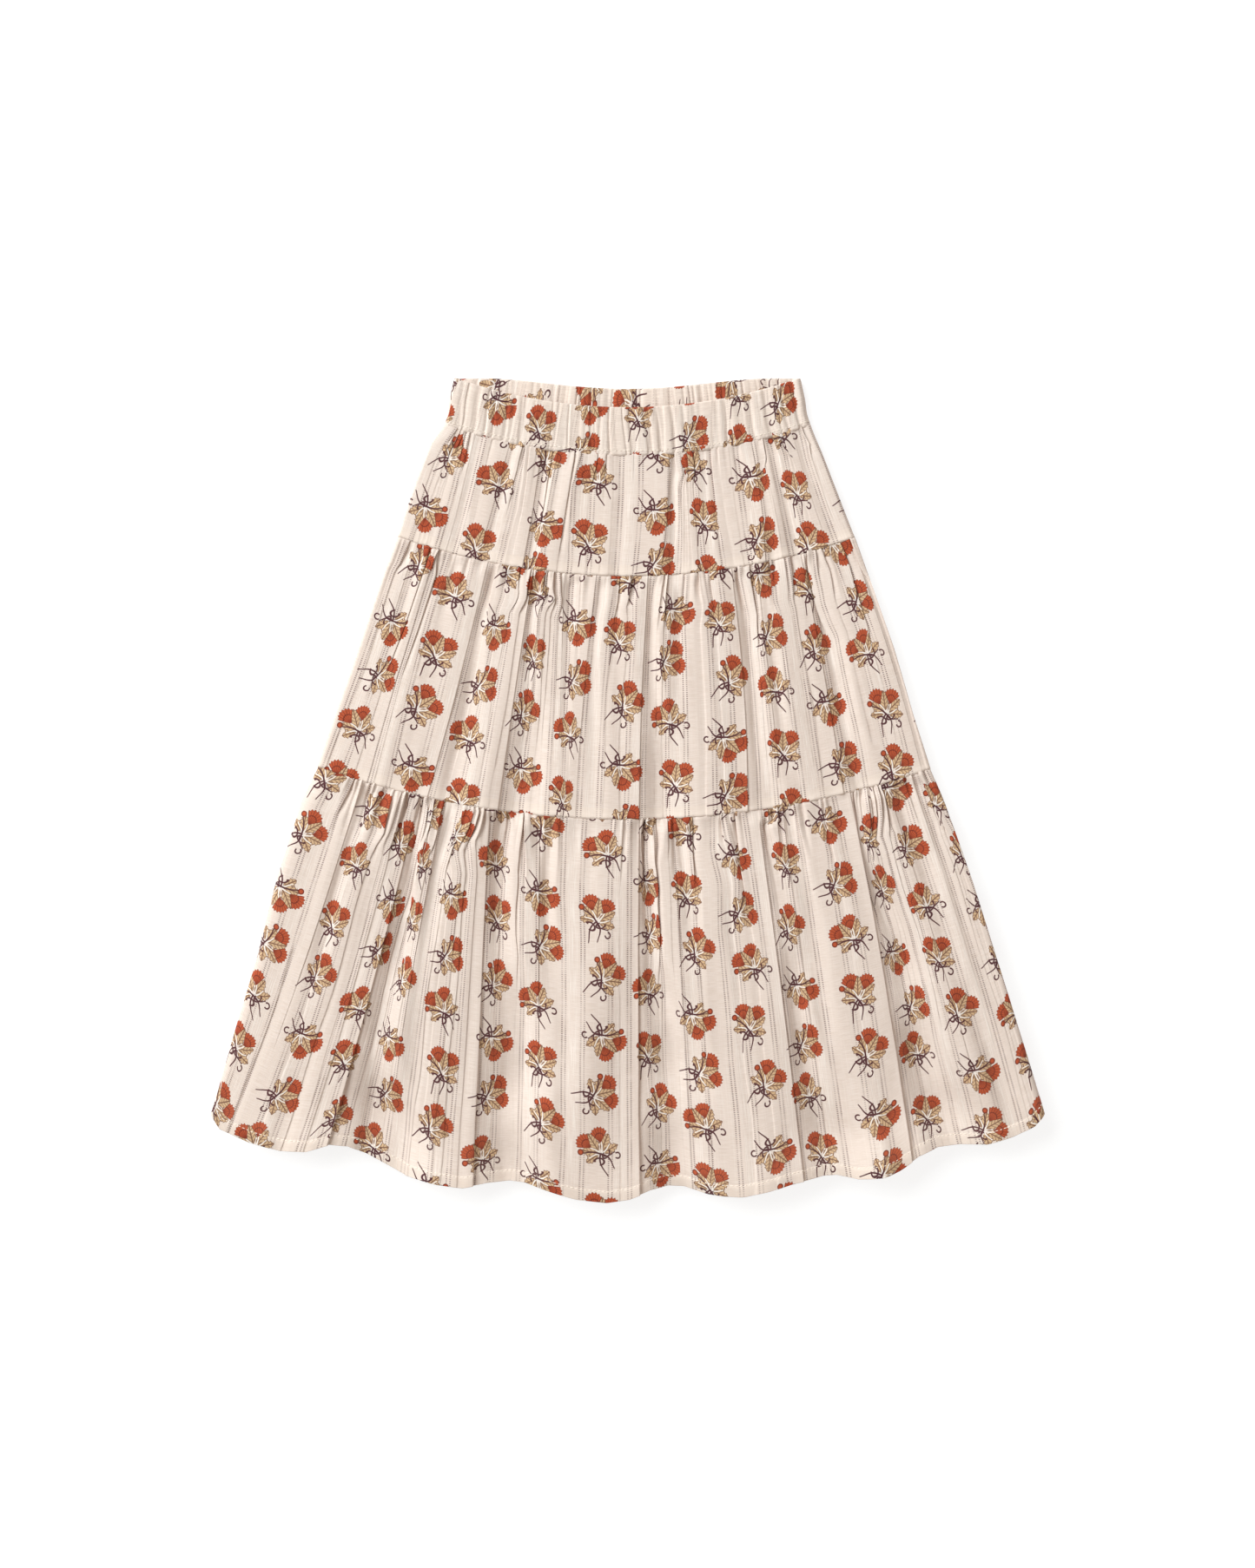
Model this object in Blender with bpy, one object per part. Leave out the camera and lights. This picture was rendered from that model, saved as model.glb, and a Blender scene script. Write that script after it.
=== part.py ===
"""A child's tiered ruffle skirt, laid flat on a table with its front up.

The skirt is sewn from a gathered elastic waistband and three tiers, each with a front and a
back panel. Every tier is gathered onto the one above, so the laid skirt opens like a fan: its
side edges and its fold lines all point at one apex above the waist, and its seams are arcs
round that apex. A place on the skirt is therefore given by a fan angle (degrees, 0 down the
middle, positive to the right) and a radius from the apex.

Frame: +X to the skirt's right as it is seen from above, +Y towards the waist, +Z up.
The origin is on the table, under the middle of the laid skirt.
"""

from collections import namedtuple

import bmesh
import bpy
import numpy as np

MM = 0.001

# ---------------------------------------------------------------- driving dimensions (mm)
APEX_X, APEX_Y = -0.504, 657.624  # the fan's apex, beyond the waist
FRONT_TOP = 379.0  # radius of the waistband's front top edge
BACK_RISE = 15.0  # the back top edge lies this much higher in the middle
WAIST_SEAM = 413.0
UPPER_SEAM = 503.0  # top tier to middle tier
LOWER_SEAM = 681.0  # middle tier to bottom tier
HEM = 957.0

CLOTH = 1.0  # wall of one layer of cloth
SEAM_CLOTH = 1.7  # where a seam allowance lies behind the cloth
HEM_CLOTH = 1.9  # the turned-up hem, two layers
CASING = 2.4  # the waistband: cloth, elastic, cloth
ALLOWANCE = 8.0  # width of the seam allowances and of the turned-up hem
SEAM_GAP = 0.3
FLOOR = 4.6  # height of the front's outer face where it lies on the back panel
LEAN = 0.42  # how far a raised fold leans to the right, for each mm that it stands up

# The laid outline and loft at a few radii: fan half-angles to each side edge, the height of
# the flutes' crests, the height of the side seam, and how far in the side edge is rounded.
Level = namedtuple("Level", "radius left right crest side round_in")
LEVELS = [
    Level(379, 19.60, 19.55, 8.6, 4.3, 5),
    Level(395, 19.30, 19.26, 8.7, 4.3, 5),
    Level(405, 19.00, 18.95, 8.8, 4.3, 5),
    Level(414, 18.90, 18.92, 8.9, 4.3, 5),
    Level(430, 19.55, 19.00, 9.0, 4.4, 6),
    Level(460, 19.70, 19.16, 9.2, 4.5, 6),
    Level(503, 19.60, 19.35, 9.6, 4.6, 7),
    Level(590, 19.50, 19.32, 11.5, 5.0, 8),
    Level(640, 19.48, 19.05, 12.5, 5.4, 9),
    Level(681, 19.44, 18.98, 13.5, 5.6, 9),
    Level(708, 19.65, 19.10, 14.5, 5.8, 9),
    Level(770, 19.48, 19.10, 17.5, 6.4, 11),
    Level(830, 19.08, 18.96, 20.0, 7.0, 12),
    Level(957, 18.68, 18.75, 23.0, 8.0, 14),
]

# The five deep troughs that part the front into six flutes, each given at the waist, at the
# two seams and at the hem: its angle, the share of the flutes' height that it takes away, and
# how far in degrees its left side and its right side reach.
TROUGH_RADII = (WAIST_SEAM, UPPER_SEAM, LOWER_SEAM, HEM)
Trough = namedtuple("Trough", "angle depth left right")
TROUGHS = [
    Trough((-14.6, -14.4, -13.4, -13.0), (0.0, 0.15, 0.75, 1.0), (1, 0.8, 0.6, 0.7), (2, 2, 1.8, 2.2)),
    Trough((-8.6, -9.3, -7.6, -5.9), (0.3, 0.75, 0.9, 1.0), (1, 0.7, 0.6, 0.8), (2, 2.2, 2.4, 2.4)),
    Trough((2.6, 2.2, 1.5, 1.4), (0.1, 0.85, 0.95, 1.0), (1, 0.8, 0.6, 0.8), (1, 0.9, 2, 1.7)),
    Trough((9.6, 8.9, 7.9, 8.6), (0.0, 0.25, 0.7, 1.0), (1, 0.8, 0.6, 1.8), (2, 2, 2, 0.9)),
    Trough((15.2, 15.0, 13.8, 13.4), (0.3, 0.8, 0.85, 1.0), (1, 0.7, 0.6, 0.8), (2, 2, 2.2, 2.4)),
]

# The front's lower edge: it dips at each flute and is drawn up at each trough.
HemPoint = namedtuple("HemPoint", "angle radius")
HEM_LINE = [
    HemPoint(-18.7, 944.5), HemPoint(-18.1, 952.5), HemPoint(-16.7, 955.4),
    HemPoint(-15.3, 955.3), HemPoint(-14.2, 951.0), HemPoint(-13.3, 942.5),
    HemPoint(-12.5, 941.0), HemPoint(-11.6, 944.0), HemPoint(-10.7, 948.5),
    HemPoint(-9.7, 954.0), HemPoint(-8.3, 955.7), HemPoint(-7.2, 955.8),
    HemPoint(-6.2, 951.0), HemPoint(-5.2, 948.3), HemPoint(-4.5, 948.8),
    HemPoint(-3.4, 953.0), HemPoint(-2.2, 957.4), HemPoint(-0.9, 959.4),
    HemPoint(0.1, 957.0), HemPoint(1.0, 951.0), HemPoint(1.8, 948.8),
    HemPoint(2.5, 949.8), HemPoint(3.5, 955.2), HemPoint(5.0, 958.7),
    HemPoint(6.2, 956.2), HemPoint(7.2, 953.2), HemPoint(8.6, 950.8),
    HemPoint(9.2, 951.6), HemPoint(10.1, 957.0), HemPoint(11.2, 958.1),
    HemPoint(12.0, 955.6), HemPoint(12.9, 949.0), HemPoint(13.8, 946.2),
    HemPoint(14.8, 948.6), HemPoint(15.9, 953.6), HemPoint(17.1, 953.4),
    HemPoint(18.1, 950.6), HemPoint(18.75, 944.5),
]
BACK_HEM = 944.0  # the back's lower edge lies behind the front's

# The gathers of each panel below the seam that it hangs from. Height is that of the tallest
# ridge, reach is how far down the longest runs, and stay is the share that lasts to the edge.
Gathers = namedtuple("Gathers", "count height reach stay seed")
GATHERS = {
    "waistband_front": Gathers(36, 0.9, 400, 1.0, 11),
    "waistband_back": Gathers(24, 0.8, 400, 1.0, 12),
    "top_tier_front": Gathers(16, 2.0, 55, 0.35, 21),
    "top_tier_back": Gathers(12, 1.1, 60, 0.0, 22),
    "middle_tier_front": Gathers(24, 2.7, 90, 0.35, 31),
    "middle_tier_back": Gathers(16, 1.2, 70, 0.0, 32),
    "bottom_tier_front": Gathers(30, 3.2, 130, 0.3, 41),
    "bottom_tier_back": Gathers(20, 1.2, 80, 0.0, 42),
}
RIDGE_START = 7.0  # a gather reaches its full height this far below its seam

# Distances from a panel's upper edge at which it is given a row of points.
FRONT_ROWS = {
    "top_tier": (0, 8, 26, 52, 90),
    "middle_tier": (0, 8, 24, 60, 112, 178),
    "bottom_tier": (0, 8, 24, 62, 122, 196, 267, 276),
}
BACK_ROWS = {
    "top_tier": (0, 10, 40, 90),
    "middle_tier": (0, 10, 40, 90, 178),
    "bottom_tier": (0, 10, 45, 110, 267, 276),
}
TIER_EDGES = {
    "top_tier": (WAIST_SEAM, UPPER_SEAM),
    "middle_tier": (UPPER_SEAM, LOWER_SEAM),
    "bottom_tier": (LOWER_SEAM, HEM),
}
POINTS_PER_GATHER = 4
EDGE_SHARES = (0.0, 0.004, 0.009)  # closer points where the side edge turns over
FINE = 1500  # steps along a section when its length is measured

COTTON = (0.79, 0.68, 0.58)  # cream cotton, linear
COTTON_ROUGHNESS = 0.9


# ---------------------------------------------------------------- the laid fan
def at_level(column, radius):
    radii = [level.radius for level in LEVELS]
    return np.interp(radius, radii, [getattr(level, column) for level in LEVELS])


def along_trough(values, radius):
    return np.interp(radius, TROUGH_RADII, values)


def valley(trough, angle, radius):
    """1 along the bottom of a trough, falling away on its left side and on its right side."""
    offset = angle - along_trough(trough.angle, radius)
    left = along_trough(trough.left, radius)
    right = along_trough(trough.right, radius)
    return np.exp(-((offset / np.where(offset < 0, left, right)) ** 2))


def side_round(angle, radius):
    """0 at the side edges, rising to 1 as a quarter round."""
    to_edge = np.minimum(angle + at_level("left", radius), at_level("right", radius) - angle)
    inward = np.clip(np.radians(to_edge) * radius / at_level("round_in", radius), 0, 1)
    return np.sqrt(1 - (1 - inward) ** 2)


def front_section(radius):
    """The front's outer face at one radius: distance across (as an arc), and height."""
    angle = np.linspace(-at_level("left", radius), at_level("right", radius), FINE)
    share = np.ones(FINE)
    for trough in TROUGHS:
        share *= 1 - along_trough(trough.depth, radius) * valley(trough, angle, radius)
    stand = (at_level("crest", radius) - FLOOR) * share
    turned = side_round(angle, radius)
    start = at_level("side", radius) + SEAM_GAP / 2
    lean = LEAN * (stand - stand.max() / 2) * turned**2
    return np.radians(angle) * radius + lean, start + (FLOOR + stand - start) * turned


def back_section(radius):
    """The back's outer face: flat on the table, turned up at the side edges."""
    angle = np.linspace(-at_level("left", radius), at_level("right", radius), FINE)
    height = (at_level("side", radius) - SEAM_GAP / 2) * (1 - side_round(angle, radius))
    return np.radians(angle) * radius, height


def on_section(section, shares):
    """Points at these shares of the section's length, and the direction of its upper side."""
    across, height = section
    length = np.concatenate([[0], np.cumsum(np.hypot(np.diff(across), np.diff(height)))])
    length /= length[-1]
    slope_across = np.gradient(across, length)
    slope_up = np.gradient(height, length)
    size = np.hypot(slope_across, slope_up)
    found = (across, height, -slope_up / size, slope_across / size)
    return [np.interp(shares, length, values) for values in found]


def place(across, height, level, radius):
    """World points in metres of a section's points. Radius may differ from point to point."""
    angle = across / level
    return MM * np.stack(
        [APEX_X + radius * np.sin(angle), APEX_Y - radius * np.cos(angle), height], axis=-1
    )


# ---------------------------------------------------------------- gathers
class Ruffle:
    """The ridges of one panel's gathers, unevenly spaced across it from 0 to 1."""

    def __init__(self, gathers):
        random = np.random.default_rng(gathers.seed)
        count = gathers.count
        places = (np.arange(count) + 0.5 + random.uniform(-0.24, 0.24, count)) / count
        valleys = np.concatenate([[0], (places[1:] + places[:-1]) / 2, [1]])
        self.knots = np.empty(2 * count + 1)
        self.knots[0::2] = valleys
        self.knots[1::2] = places
        self.height = gathers.height * random.uniform(0.45, 1.0, count)
        self.reach = gathers.reach * random.uniform(0.25, 1.0, count)
        self.stay = gathers.stay * random.uniform(0.2, 1.0, count)
        if gathers.stay == 1.0:
            self.stay[:] = 1.0

    def shares(self):
        """Where the panel's columns of points go: on each ridge, in each valley and between."""
        halves = np.arange(len(self.knots))
        count = (len(self.knots) - 1) // 2
        steps = np.linspace(0, len(self.knots) - 1, POINTS_PER_GATHER * count + 1)
        columns = np.interp(steps, halves, self.knots)
        edge = np.array(EDGE_SHARES)
        first = edge[-1] + 0.002
        return np.concatenate([edge, columns[(columns > first) & (columns < 1 - first)], 1 - edge[::-1]])

    def rise(self, shares, below):
        """How far the cloth is lifted at these shares, at a distance below the seam."""
        phase = np.interp(shares, self.knots, 0.5 * np.arange(len(self.knots)))
        ridge = np.minimum(phase.astype(int), len(self.height) - 1)
        fade = np.clip(1 - below / self.reach, 0, 1) ** 1.5
        start = 0.35 + 0.65 * np.clip(below / RIDGE_START, 0, 1)
        full = self.height * start * (self.stay + (1 - self.stay) * fade)
        return full[ridge] * np.sin(np.pi * phase) ** 2


# ---------------------------------------------------------------- cloth walls
def cloth_material(name, colour):
    material = bpy.data.materials.new(name)
    material.use_nodes = True
    shader = material.node_tree.nodes["Principled BSDF"]
    shader.inputs["Base Color"].default_value = (*colour, 1.0)
    shader.inputs["Roughness"].default_value = COTTON_ROUGHNESS
    shader.inputs["Metallic"].default_value = 0.0
    return material


def upper_side(across, height, closed):
    """Unit directions of the left-hand side of a row of points, level at its two ends."""
    if closed:
        step = np.roll(across, -1) - np.roll(across, 1)
        up = np.roll(height, -1) - np.roll(height, 1)
    else:
        step = np.gradient(across)
        up = np.gradient(height)
        step[[0, -1]] = 0
    size = np.hypot(step, up)
    return -up / size, step / size


def wall_row(across, height, level, radius, thickness, closed=False):
    """One row of a wall: the points of its outer face, and those of its inner face.

    A negative thickness puts the inner face above, for a panel with its outer face down.
    """
    side, up = upper_side(across, height, closed)
    outer = place(across, height, level, radius)
    inner = place(across - thickness * side, height - thickness * up, level, radius)
    return outer, inner


def cloth_wall(name, rows, material, closed=False):
    """A closed wall from its rows of outer and inner points: two faces and the rims."""
    outer = np.array([row[0] for row in rows])
    inner = np.array([row[1] for row in rows])
    count, columns = outer.shape[:2]
    mesh = bpy.data.meshes.new(name)
    build = bmesh.new()
    faces = [[[build.verts.new(p) for p in row] for row in side] for side in (outer, inner)]
    last = columns if closed else columns - 1
    for i in range(count - 1):
        for j in range(last):
            k = (j + 1) % columns
            for side, turn in zip(faces, (1, -1)):
                build.faces.new([side[i][j], side[i + 1][j], side[i + 1][k], side[i][k]][::turn])
    front, back = faces
    for i, turn in ((0, 1), (count - 1, -1)):
        for j in range(last):
            k = (j + 1) % columns
            build.faces.new([front[i][j], front[i][k], back[i][k], back[i][j]][::turn])
    if not closed:
        for j, turn in ((0, -1), (columns - 1, 1)):
            for i in range(count - 1):
                build.faces.new([front[i][j], front[i + 1][j], back[i + 1][j], back[i][j]][::turn])
    bmesh.ops.recalc_face_normals(build, faces=build.faces)
    build.to_mesh(mesh)
    build.free()
    mesh.materials.append(material)
    mesh.shade_smooth()
    thing = bpy.data.objects.new(name, mesh)
    bpy.context.scene.collection.objects.link(thing)
    return thing


def hem_radius(angle, is_front):
    if is_front:
        return np.interp(angle, [p.angle for p in HEM_LINE], [p.radius for p in HEM_LINE])
    return np.full_like(angle, BACK_HEM)


def row_thickness(below, depth, is_bottom):
    """Cloth, thicker over the seam allowances and over the turned-up hem."""
    if below < ALLOWANCE:
        return SEAM_CLOTH
    if is_bottom and below >= depth - ALLOWANCE - 1:
        return HEM_CLOTH
    return CLOTH


def gathered(section, ruffle, below):
    """A section's points with the gathers raised on them, none of it at the side edges."""
    shares = ruffle.shares()
    across, height, side, up = on_section(section, shares)
    rise = ruffle.rise(shares, below) * np.clip(60 * np.minimum(shares, 1 - shares), 0, 1)
    return across + rise * side, height + rise * up


def tier_panel(tier, side):
    name = f"{tier}_{side}"
    is_front = side == "front"
    is_bottom = tier == "bottom_tier"
    ruffle = Ruffle(GATHERS[name])
    upper, lower = TIER_EDGES[tier]
    depth = lower - upper
    rows = []
    for below in (FRONT_ROWS if is_front else BACK_ROWS)[tier]:
        level = upper + below
        section = front_section(level) if is_front else back_section(level)
        across, height = gathered(section, ruffle, below)
        radius = np.full_like(across, level)
        if below == 0:
            radius += SEAM_GAP / 2
        elif is_bottom:
            drawn_up = hem_radius(np.degrees(across / level), is_front) - HEM
            radius += drawn_up * (below / depth) ** 2
        elif below == depth:
            radius -= SEAM_GAP / 2
        thickness = row_thickness(below, depth, is_bottom)
        rows.append(wall_row(across, height, level, radius, thickness if is_front else -thickness))
    return cloth_wall(name, rows, cloth_material(name, COTTON))


def waistband():
    """The gathered casing, one ring: across the front, round the side, and back behind it."""
    rows = []
    for down in (0.0, 0.5, 1.0):
        level = FRONT_TOP + (WAIST_SEAM - SEAM_GAP / 2 - FRONT_TOP) * down
        front = gathered(front_section(level), Ruffle(GATHERS["waistband_front"]), RIDGE_START)
        back = gathered(back_section(level), Ruffle(GATHERS["waistband_back"]), RIDGE_START)
        across, height = [np.concatenate([f, b[-2:0:-1]]) for f, b in zip(front, back)]
        is_back = np.arange(len(across)) >= len(front[0])
        rise = BACK_RISE * (1 - down) * (1 - (across / across.max()) ** 4)
        radius = level - rise * is_back
        rows.append(wall_row(across, height, level, radius, CASING, closed=True))
    return cloth_wall("waistband", rows, cloth_material("waistband", COTTON), closed=True)


def main():
    for thing in list(bpy.data.objects):
        bpy.data.objects.remove(thing)
    waistband()
    for tier in TIER_EDGES:
        for side in ("front", "back"):
            tier_panel(tier, side)


main()
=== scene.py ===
import math

import bpy
import numpy as np
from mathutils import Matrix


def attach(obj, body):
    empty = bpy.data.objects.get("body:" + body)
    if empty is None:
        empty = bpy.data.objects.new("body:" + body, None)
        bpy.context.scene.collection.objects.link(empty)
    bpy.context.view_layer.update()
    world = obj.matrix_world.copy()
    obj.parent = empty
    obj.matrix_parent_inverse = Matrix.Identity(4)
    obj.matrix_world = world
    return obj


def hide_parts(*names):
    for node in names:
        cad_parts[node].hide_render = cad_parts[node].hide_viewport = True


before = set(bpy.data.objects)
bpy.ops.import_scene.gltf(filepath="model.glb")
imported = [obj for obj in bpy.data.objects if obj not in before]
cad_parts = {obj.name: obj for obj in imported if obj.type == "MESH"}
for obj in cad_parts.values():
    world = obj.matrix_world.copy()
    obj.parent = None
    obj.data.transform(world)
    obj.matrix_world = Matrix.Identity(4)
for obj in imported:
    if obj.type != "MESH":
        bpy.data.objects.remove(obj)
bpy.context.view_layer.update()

# ------------------------------------------------------------------ camera
# The skirt lies on a table and is looked at from straight above, 1.7 m over its folds.
LOOK_HEIGHT, FOLD_PLANE = 1.7, 0.010  # metres
VIEW_HEIGHT = 1.1468  # metres of the fold plane that the view's long side takes in
VIEW_MIDDLE = (-0.0005, 0.0026)


def new_object(name, data):
    made = bpy.data.objects.new(name, data)
    bpy.context.scene.collection.objects.link(made)
    return made


camera = new_object("overhead_camera", bpy.data.cameras.new("overhead_camera"))
camera.data.sensor_width = 36.0
camera.data.lens = camera.data.sensor_width * LOOK_HEIGHT / VIEW_HEIGHT
camera.location = (*VIEW_MIDDLE, FOLD_PLANE + LOOK_HEIGHT)
bpy.context.scene.camera = camera
bpy.context.scene.view_settings.view_transform = "Standard"

# ------------------------------------------------------------------ top tier
# A straight strip of cream cotton for the front and one for the back, joined at the sides,
# gathered a little onto the casing above it. It is a dobby cloth with openwork and satin
# stripes along the warp, printed with scattered sprigs.
MM = 0.001
STRIPE_REPEAT = 35.5  # mm, after which the stripes come again
PAIR_PLACES = (0.0, 14.5)  # mm, the middles of the two pairs of openwork lines
LINE_APART = 1.35  # mm, from the middle of a pair to each of its lines
HOLE_STEP = 1.5  # mm from hole to hole along a line
SATIN_PLACE, SATIN_HALF = 7.2, 3.6  # mm, the slubby satin stripe between the two pairs
WEAVE = (15.0, 16.5)  # radians of the threads' wave for each mm, across and along
SEAM_EDGES = (-90.0, -488.0, -996.0)  # mm along the cloth, where each tier's lower edge is
DOUBLED = 8.0  # mm above each lower edge, where the cloth is doubled
LIGHT_THROUGH = 0.2  # share of the light that comes through the thin cotton
SPRIG_STEP = (45.0, 43.0)  # mm, from sprig to sprig across and along the cloth
SPRIG_STRAY = (9.0, 6.5)  # mm, how widely they are scattered about their steps
SPRIG_DROP = 0.36  # of a step, from one column of sprigs to the next
SPRIG_SCALE = 1.17
SPRIG_TURNS = (0.15, -0.75, *np.radians((110, 62, -95)))  # radians, each way to lay one from the last
CREAM = (0.790, 0.688, 0.624, 1)
SHADE_CREAM = (0.715, 0.606, 0.532, 1)
DOUBLED_CREAM = (0.800, 0.690, 0.600, 1)
SATIN = (0.855, 0.775, 0.710, 1)
# The openwork holes are coloured with painted shade: dark, for the shaded layer seen through them.
HOLE_SHADE = (0.255, 0.190, 0.180, 1)
RUST = (0.460, 0.082, 0.030, 1)
RUST_DARK = (0.170, 0.024, 0.013, 1)
TAN = (0.630, 0.435, 0.260, 1)
VEIN = (0.190, 0.095, 0.060, 1)
PLUM = (0.075, 0.022, 0.030, 1)
STEM_PALE = (0.86, 0.80, 0.74, 1)


class ShaderPen:
    """Writes shader maths as plain calls, one node a call. Lengths are in millimetres."""

    def __init__(self, tree):
        self.tree = tree

    def node(self, kind, *values, **settings):
        made = self.tree.nodes.new(kind)
        for name, value in settings.items():
            setattr(made, name, value)
        for socket, value in zip(made.inputs, values):
            self.put(socket, value)
        return made

    def put(self, socket, value):
        """Sets a socket, or links it to a socket or to a node's first output."""
        if isinstance(value, bpy.types.Node):
            value = value.outputs[0]
        if isinstance(value, bpy.types.NodeSocket):
            self.tree.links.new(value, socket)
        elif value is not None:
            socket.default_value = value

    def fill(self, node, values):
        """Gives a node's inputs, by their names, these values or links."""
        for name, value in values.items():
            self.put(node.inputs[name], value)
        return node

    def math(self, operation, *values, clamp=False):
        return self.node("ShaderNodeMath", *values, operation=operation, use_clamp=clamp)

    def add(self, a, b):
        return self.math("ADD", a, b)

    def sub(self, a, b):
        return self.math("SUBTRACT", a, b)

    def mul(self, a, b):
        return self.math("MULTIPLY", a, b)

    def size(self, a):
        return self.math("ABSOLUTE", a)

    def teeth(self, value):
        """A zigzag: 0.5 at whole numbers and 0 halfway between them."""
        return self.size(self.sub(self.math("FRACT", value), 0.5))

    def most(self, first, *others):
        for other in others:
            first = self.math("MAXIMUM", first, other)
        return first

    def step(self, value, low, high):
        """0 where value is at low, 1 at high and beyond, eased. low may be the larger."""
        return self.node("ShaderNodeMapRange", value, low, high, 0.0, 1.0, interpolation_type="SMOOTHSTEP")

    def join(self, x, y):
        return self.node("ShaderNodeCombineXYZ", x, y)

    def split(self, vector):
        return self.node("ShaderNodeSeparateXYZ", vector).outputs

    def seen_from(self, point, centre, degrees, size=(1.0, 1.0)):
        """The point as x and y of a shape that lies at centre, turned and of this size."""
        made = self.node("ShaderNodeMapping", point, vector_type="TEXTURE")
        turn = (0, 0, math.radians(degrees))
        self.fill(made, {"Location": (*centre, 0), "Rotation": turn, "Scale": (*size, 1)})
        return self.split(made)[:2]

    def reach(self, x, y):
        return self.node("ShaderNodeVectorMath", self.join(x, y), operation="LENGTH").outputs["Value"]

    def noise(self, point, stretch, detail=2.0):
        mapped = self.fill(self.node("ShaderNodeMapping", point), {"Scale": (*stretch, 1)})
        made = self.node("ShaderNodeTexNoise", mapped, noise_dimensions="2D")
        return self.fill(made, {"Scale": 1.0, "Detail": detail}).outputs["Fac"]

    def blend(self, share, under, over):
        made = self.node("ShaderNodeMix", data_type="RGBA")
        for index, value in ((0, share), (6, under), (7, over)):
            self.put(made.inputs[index], value)
        return made.outputs[2]


def new_material(name):
    """(material, pen for its nodes, its main shader)."""
    made = bpy.data.materials.new(name)
    made.use_nodes = True
    return made, ShaderPen(made.node_tree), made.node_tree.nodes["Principled BSDF"]


def fan_bloom(pen, point, base, degrees, size):
    """(inside, ink) of a frilled flower seen from its side: a fan, 12 mm tall, with a toothed rim."""
    x, y = pen.seen_from(point, base, degrees, (size, size))
    turn = pen.math("ARCTAN2", pen.size(x), y)
    reach, teeth = pen.reach(x, y), 4.6  # to a radian
    tooth = pen.teeth(pen.mul(turn, teeth))
    rim = pen.sub(pen.add(11.4, pen.mul(tooth, 2.6)), pen.mul(pen.mul(turn, turn), 4.0))
    sides = pen.mul(pen.sub(pen.add(0.66, pen.math("DIVIDE", 0.5, pen.add(reach, 0.5))), turn), reach)
    edge = pen.math("SMOOTH_MIN", pen.sub(rim, reach), sides, 1.3)
    outline = pen.mul(pen.step(edge, 0.85, 0.35), 0.85)
    inner_rim = pen.size(pen.sub(pen.sub(rim, 3.9), pen.add(reach, pen.mul(tooth, 3.4))))
    frill = pen.step(inner_rim, 0.65, 0.2)
    ray = pen.teeth(pen.add(pen.mul(turn, teeth), 0.5))
    rays = pen.mul(pen.step(pen.mul(ray, reach), 1.5, 0.5), pen.step(pen.sub(rim, reach), 0.9, 2.2))
    return pen.step(edge, 0.0, 0.3), pen.most(outline, frill, pen.mul(rays, 0.85))


def toothed_leaf(pen, point, base, degrees, length, width):
    """(inside, ink) of a leaf with a toothed edge, a rib and slanting veins."""
    x, y = pen.seen_from(point, base, degrees)
    half, along = pen.size(x), pen.math("DIVIDE", y, length, clamp=True)
    swell = pen.math("POWER", pen.math("SINE", pen.mul(along, math.pi)), 0.72)
    teeth = 0.42  # to a mm
    tooth = pen.math("FRACT", pen.sub(pen.mul(y, teeth), pen.mul(half, 0.18)))
    edge = pen.sub(pen.mul(pen.mul(swell, width / 2), pen.sub(1.0, pen.mul(tooth, 0.34))), half)
    outline = pen.step(edge, 0.85, 0.4)
    rib = pen.step(half, 0.5, 0.2)
    vein = pen.teeth(pen.sub(pen.mul(y, teeth), pen.mul(half, 0.4)))
    veins = pen.mul(pen.step(vein, 0.24, 0.07), 0.7)
    return pen.step(edge, 0.0, 0.25), pen.most(outline, rib, veins)


def curl(pen, point, centre, degrees, size, stroke):
    """The curled end of a tendril: most of an oval ring."""
    x, y = pen.seen_from(point, centre, degrees, size)
    off = pen.size(pen.sub(pen.reach(x, y), 1.0))
    gap = pen.most(pen.step(y, 0.15, 0.0), pen.step(x, 0.0, -0.1))
    return pen.mul(pen.step(off, stroke, stroke * 0.45), gap)


def stalk(pen, point, start, degrees, length, bend, half_width):
    """A bent line from its start outwards, narrower towards its tip."""
    x, y = pen.seen_from(point, start, degrees)
    along = pen.math("DIVIDE", y, length)
    sway = pen.mul(pen.math("SINE", pen.mul(along, 4.2)), bend)
    width = pen.mul(half_width, pen.sub(1.2, pen.mul(along, 0.55)))
    off = pen.sub(pen.size(pen.sub(x, sway)), width)
    ends = pen.mul(pen.step(along, -0.03, 0.03), pen.step(along, 1.0, 0.94))
    return pen.mul(pen.step(off, 0.2, -0.14), ends)


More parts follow.
